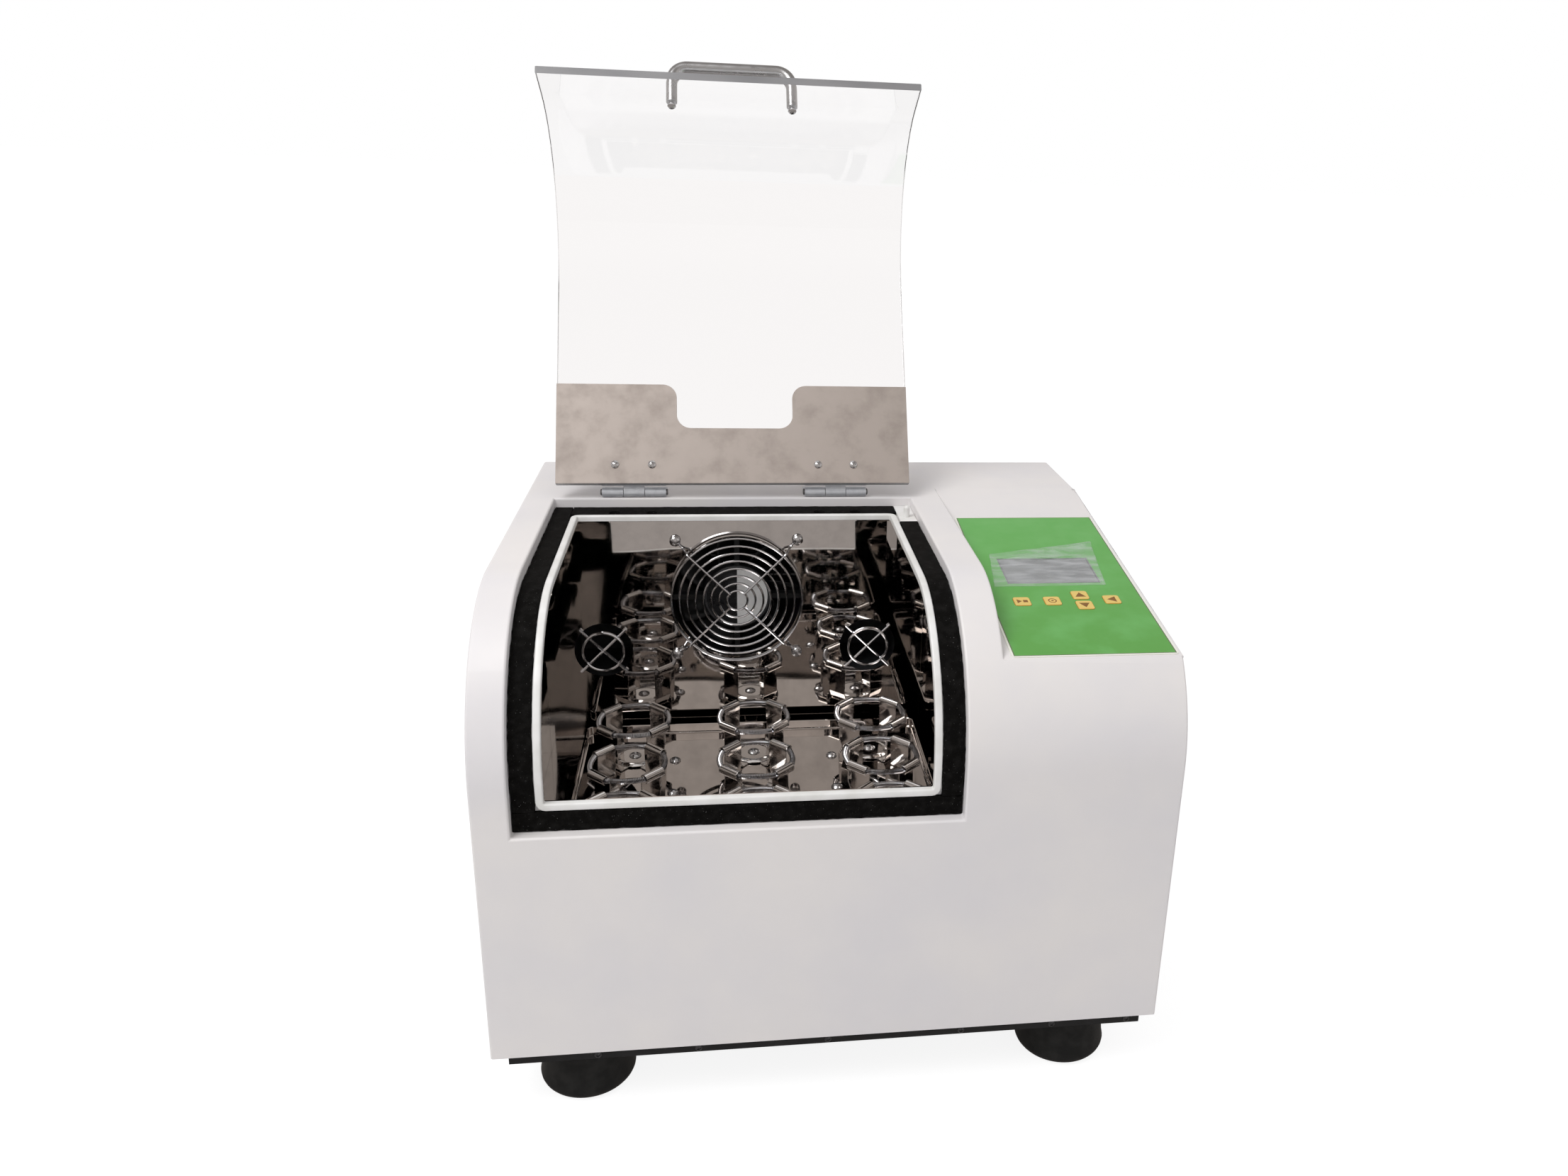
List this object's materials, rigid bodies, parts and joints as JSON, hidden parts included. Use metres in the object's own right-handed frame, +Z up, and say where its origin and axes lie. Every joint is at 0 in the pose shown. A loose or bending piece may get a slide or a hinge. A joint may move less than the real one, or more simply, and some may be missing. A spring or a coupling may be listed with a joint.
{
  "type": "incubated benchtop shaker",
  "caption": "Benchtop shaking incubator with a bent clear lid hinged over a mirror chamber, an orbiting platform of sprung flask clamps and a sloped control panel",
  "frame": {"origin": "on the floor under the middle of the casing", "axes": "+Z up and the longest extent with the lid open, -Y towards the user at the controls, +X to the user's right"},
  "size_m": [0.49, 0.425, 0.7311],
  "materials": {
    "powder_coat": "warm white textured powder coat",
    "black_steel": "satin black paint",
    "foot_rubber": "matt black rubber",
    "mirror_steel": "mirror-polished stainless steel",
    "satin_steel": "fine satin stainless steel",
    "bright_wire": "bright plated wire",
    "screw_steel": "bright zinc-plated screws",
    "black_foam": "closed-cell foam rubber",
    "white_plastic": "smooth white moulding",
    "clear_acrylic": "clear polished acrylic",
    "hinge_metal": "matt light grey casting",
    "label_film": "green printed membrane overlay",
    "key_film": "raised yellow membrane key",
    "display_glass": "display behind film",
    "board": "circuit board",
    "black_plastic": "moulded black plastic",
    "insulation_foam": "soft insulation slab",
    "galvanised": "galvanised sheet",
    "cast_aluminium": "machined aluminium",
    "machined_steel": "machined steel",
    "bearing_steel": "ground bearing steel",
    "belt_rubber": "ribbed belt"
  },
  "bodies": {
    "root": {"outer_casing": "powder_coat", "rear_panel": "powder_coat", "body_screws": "screw_steel", "base_tray": "black_steel", "rubber_feet": "foot_rubber", "chamber_liner": "mirror_steel", "opening_trim": "white_plastic", "lid_gasket": "black_foam", "insulation": "insulation_foam", "fan_frame": "black_plastic", "fan_guard": "bright_wire", "fan_screws": "screw_steel", "vent_guards": "bright_wire", "air_plenum": "galvanised", "air_heater": "machined_steel", "hinge_casing_leaves": "hinge_metal", "hinge_pins": "screw_steel", "control_label": "label_film", "lcd_display": "display_glass", "control_board": "board", "power_supply": "galvanised", "power_inlet": "black_plastic", "lid_switch_body": "white_plastic", "drive_frame": "galvanised", "bearing_housings": "cast_aluminium", "crank_bearings": "bearing_steel", "drive_belt": "belt_rubber", "motor": "cast_aluminium"},
    "circulation_fan": {"fan_rotor": "black_plastic"},
    "crank": {"crank_shaft": "machined_steel", "main_pulley": "cast_aluminium"},
    "motor_rotor": {"motor_pulley": "cast_aluminium"},
    "platform": {"platform": "mirror_steel", "platform_bearings": "bearing_steel", "platform_screws": "screw_steel", "flask_clamp_1": "mirror_steel", "flask_clamp_2": "mirror_steel", "flask_clamp_3": "mirror_steel", "flask_clamp_4": "mirror_steel", "flask_clamp_5": "mirror_steel", "flask_clamp_6": "mirror_steel", "flask_clamp_7": "mirror_steel", "flask_clamp_8": "mirror_steel", "flask_clamp_9": "mirror_steel", "clamp_springs": "bright_wire"},
    "link_1": {"crank_link_1": "machined_steel"},
    "link_2": {"crank_link_2": "machined_steel"},
    "link_3": {"crank_link_3": "machined_steel"},
    "lid": {"lid_panel": "clear_acrylic", "lid_bracket": "satin_steel", "lid_screws": "screw_steel", "lid_handle": "satin_steel", "hinge_lid_leaves": "hinge_metal"},
    "lid_plunger": {"lid_switch_plunger": "white_plastic"},
    "rocker": {"power_rocker": "black_plastic"},
    "key_start": {"key_start": "key_film"},
    "key_set": {"key_set": "key_film"},
    "key_up": {"key_up": "key_film"},
    "key_down": {"key_down": "key_film"},
    "key_shift": {"key_shift": "key_film"}
  },
  "joints": [
    {"name": "lid_hinge", "type": "hinge", "parent": "root", "child": "lid", "pos_m": [-0.0665, 0.09, 0.3813], "axis": [1, 0, 0], "range_deg": [0, 118.87]},
    {"name": "crank_spin", "type": "hinge", "parent": "root", "child": "crank", "pos_m": [-0.0665, -0.0665, 0.15], "axis": [0, 0, 1], "continuous": true},
    {"name": "platform_pivot", "type": "hinge", "parent": "crank", "child": "platform", "pos_m": [-0.054, -0.0665, 0.16], "axis": [0, 0, 1], "continuous": true},
    {"name": "motor_spin", "type": "hinge", "parent": "root", "child": "motor_rotor", "pos_m": [0.158, -0.0665, 0.11], "axis": [0, 0, 1], "continuous": true},
    {"name": "fan_spin", "type": "hinge", "parent": "root", "child": "circulation_fan", "pos_m": [-0.0665, 0.0825, 0.2925], "axis": [0, 1, 0], "continuous": true},
    {"name": "lid_plunger_slide", "type": "slide", "parent": "root", "child": "lid_plunger", "axis": [0, 0, -1], "range_m": [0, 0.0096]},
    {"name": "rocker_tip", "type": "hinge", "parent": "root", "child": "rocker", "pos_m": [0.175, 0.2055, 0.125], "axis": [1, 0, 0], "range_deg": [-12, 0]},
    {"name": "link_1_spin", "type": "hinge", "parent": "root", "child": "link_1", "pos_m": [-0.17148, -0.1105, 0.135], "axis": [0, 0, 1], "continuous": true},
    {"name": "link_2_spin", "type": "hinge", "parent": "root", "child": "link_2", "pos_m": [0.03848, -0.1105, 0.135], "axis": [0, 0, 1], "continuous": true},
    {"name": "link_3_spin", "type": "hinge", "parent": "root", "child": "link_3", "pos_m": [-0.0665, 0.0315, 0.135], "axis": [0, 0, 1], "continuous": true},
    {"name": "key_start_press", "type": "slide", "parent": "root", "child": "key_start", "axis": [0, 0.1354, -0.9908], "range_m": [0, 0.0005], "stiffness_N_per_m": 400},
    {"name": "key_set_press", "type": "slide", "parent": "root", "child": "key_set", "axis": [0, 0.1354, -0.9908], "range_m": [0, 0.0005], "stiffness_N_per_m": 400},
    {"name": "key_up_press", "type": "slide", "parent": "root", "child": "key_up", "axis": [0, 0.1354, -0.9908], "range_m": [0, 0.0005], "stiffness_N_per_m": 400},
    {"name": "key_down_press", "type": "slide", "parent": "root", "child": "key_down", "axis": [0, 0.1354, -0.9908], "range_m": [0, 0.0005], "stiffness_N_per_m": 400},
    {"name": "key_shift_press", "type": "slide", "parent": "root", "child": "key_shift", "axis": [0, 0.1354, -0.9908], "range_m": [0, 0.0005], "stiffness_N_per_m": 400}
  ],
  "couplings": [
    {"joint": "platform_pivot", "follows": "crank_spin", "ratio": -1},
    {"joint": "motor_spin", "follows": "crank_spin", "ratio": 4},
    {"joint": "link_1_spin", "follows": "crank_spin", "ratio": 1},
    {"joint": "link_2_spin", "follows": "crank_spin", "ratio": 1},
    {"joint": "link_3_spin", "follows": "crank_spin", "ratio": 1},
    {"joint": "lid_plunger_slide", "follows": "lid_hinge", "m_per_rad": 0.004579}
  ]
}
